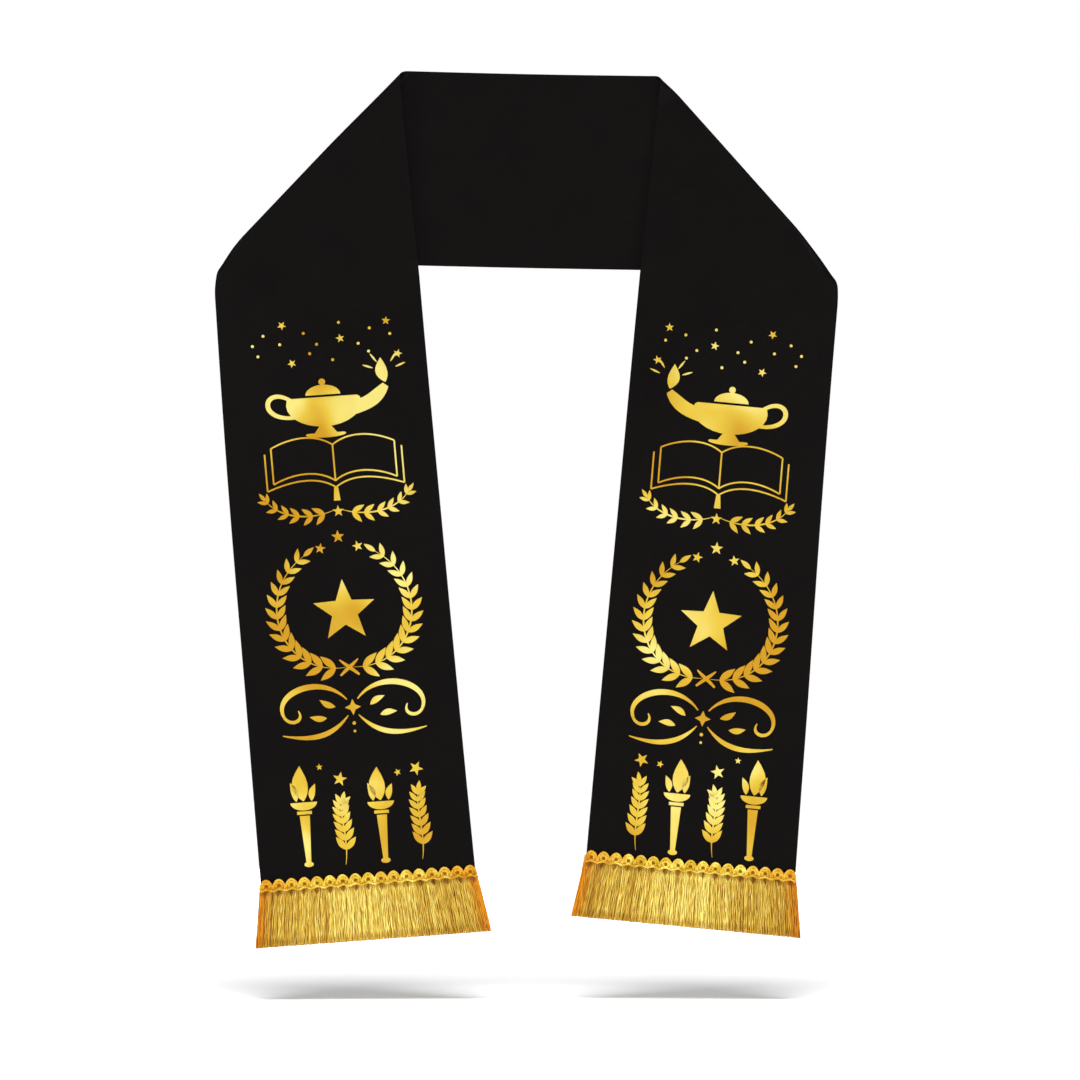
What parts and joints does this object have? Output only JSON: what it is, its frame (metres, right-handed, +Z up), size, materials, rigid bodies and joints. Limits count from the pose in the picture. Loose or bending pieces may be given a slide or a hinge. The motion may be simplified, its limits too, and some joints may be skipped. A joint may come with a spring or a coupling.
{
  "type": "graduation stole",
  "caption": "Long black satin stole folded over at both shoulders, its two ends hanging in front, each with a scalloped gold heading and a gold fringe.",
  "frame": {"origin": "middle of the neck strip's top edge, on the face that lies against the back of the neck", "axes": "+Z up along the hanging legs, +X towards the right leg as seen from the front, -Y towards the front"},
  "size_m": [0.4667, 0.0426, 0.6586],
  "materials": {
    "black_satin": "matte black satin weave",
    "gold_braid": "shiny twisted gold rayon cord",
    "gold_yarn": "silky gold rayon yarn",
    "gold_foil": "heat-pressed metallic gold foil"
  },
  "bodies": {
    "root": {"stole_band": "black_satin", "fringe_heading_left": "gold_braid", "fringe_left": "gold_yarn", "fringe_heading_right": "gold_braid", "fringe_right": "gold_yarn"}
  },
  "joints": []
}
